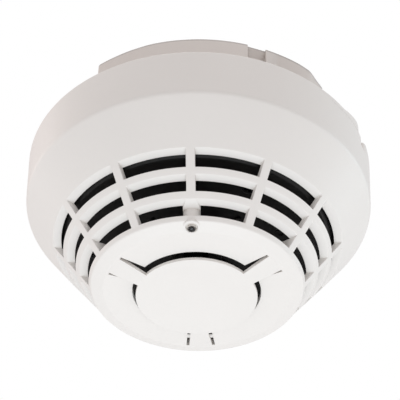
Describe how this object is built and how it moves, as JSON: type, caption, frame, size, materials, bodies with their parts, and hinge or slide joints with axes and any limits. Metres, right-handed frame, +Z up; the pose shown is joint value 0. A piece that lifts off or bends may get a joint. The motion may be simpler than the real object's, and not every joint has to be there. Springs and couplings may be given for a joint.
{
  "type": "heat detector",
  "caption": "Plug-in ceiling heat detector: round head with slotted grille, guard disc and status light that twists on to a base with screw terminals.",
  "frame": {"origin": "centre of the base's flat back, the face against the ceiling", "axes": "+Z up into the ceiling, -Z out of the detector's front; -Y towards the status light"},
  "size_m": [0.1168, 0.1168, 0.0624],
  "materials": {
    "cover_white": "fine satin moulded ABS",
    "base_white": "satin moulded ABS, slightly darker",
    "inner_black": "glossy black moulding",
    "clear_acrylic": "polished clear acrylic",
    "contact_brass": "nickel-washed brass strip",
    "screw_steel": "zinc-plated steel",
    "screw_black": "black-passivated steel",
    "board_green": "solder-masked glass epoxy",
    "chip_black": "moulded epoxy",
    "sensor_epoxy": "dipped epoxy bead"
  },
  "bodies": {
    "base": {"base_housing": "base_white", "lock_pin": "screw_steel", "terminal_plate_1": "contact_brass", "terminal_plate_2": "contact_brass", "terminal_plate_3": "contact_brass", "terminal_plate_4": "contact_brass"},
    "head": {"outer_cover": "cover_white", "carrier": "cover_white", "sensor_plate": "inner_black", "circuit_board": "board_green", "head_screw_1": "screw_black", "head_screw_2": "screw_black", "head_screw_3": "screw_black", "contact_blade_1": "contact_brass", "contact_blade_2": "contact_brass", "contact_blade_3": "contact_brass", "contact_blade_4": "contact_brass", "light_pipe": "clear_acrylic", "led_emitter": "clear_acrylic", "controller_chip": "chip_black", "storage_capacitor": "chip_black", "reference_thermistor": "sensor_epoxy", "thermistor_bead": "sensor_epoxy", "thermistor_lead_1": "screw_steel", "thermistor_lead_2": "screw_steel"},
    "lock": {"lock_lever": "cover_white"},
    "clamp_1": {"clamp_washer_1": "screw_steel"},
    "screw_1": {"terminal_screw_1": "screw_steel"},
    "clamp_2": {"clamp_washer_2": "screw_steel"},
    "screw_2": {"terminal_screw_2": "screw_steel"},
    "clamp_3": {"clamp_washer_3": "screw_steel"},
    "screw_3": {"terminal_screw_3": "screw_steel"},
    "clamp_4": {"clamp_washer_4": "screw_steel"},
    "screw_4": {"terminal_screw_4": "screw_steel"}
  },
  "joints": [
    {"name": "head_twist", "type": "hinge", "parent": "base", "child": "head", "pos_m": [0, 0, -0.014], "axis": [0, 0, -1], "range_deg": [0, 20]},
    {"name": "lock_swing", "type": "hinge", "parent": "base", "child": "lock", "pos_m": [0.01928, -0.04678, -0.0079], "axis": [0.9245, 0.3811, 0], "range_deg": [0, 10]},
    {"name": "clamp_1_travel", "type": "slide", "parent": "base", "child": "clamp_1", "axis": [0, 0, -1], "range_m": [0, 0.0014]},
    {"name": "screw_1_turn", "type": "hinge", "parent": "clamp_1", "child": "screw_1", "pos_m": [0.02605, -0.02185, -0.008], "axis": [0, 0, -1], "range_deg": [0, 720]},
    {"name": "clamp_2_travel", "type": "slide", "parent": "base", "child": "clamp_2", "axis": [0, 0, -1], "range_m": [0, 0.0014]},
    {"name": "screw_2_turn", "type": "hinge", "parent": "clamp_2", "child": "screw_2", "pos_m": [0.02185, 0.02605, -0.008], "axis": [0, 0, -1], "range_deg": [0, 720]},
    {"name": "clamp_3_travel", "type": "slide", "parent": "base", "child": "clamp_3", "axis": [0, 0, -1], "range_m": [0, 0.0014]},
    {"name": "screw_3_turn", "type": "hinge", "parent": "clamp_3", "child": "screw_3", "pos_m": [-0.02605, 0.02185, -0.008], "axis": [0, 0, -1], "range_deg": [0, 720]},
    {"name": "clamp_4_travel", "type": "slide", "parent": "base", "child": "clamp_4", "axis": [0, 0, -1], "range_m": [0, 0.0014]},
    {"name": "screw_4_turn", "type": "hinge", "parent": "clamp_4", "child": "screw_4", "pos_m": [-0.02185, -0.02605, -0.008], "axis": [0, 0, -1], "range_deg": [0, 720]}
  ],
  "couplings": [
    {"joint": "screw_1_turn", "follows": "clamp_1_travel", "rad_per_m": 8975.1},
    {"joint": "screw_2_turn", "follows": "clamp_2_travel", "rad_per_m": 8975.1},
    {"joint": "screw_3_turn", "follows": "clamp_3_travel", "rad_per_m": 8975.1},
    {"joint": "screw_4_turn", "follows": "clamp_4_travel", "rad_per_m": 8975.1}
  ]
}
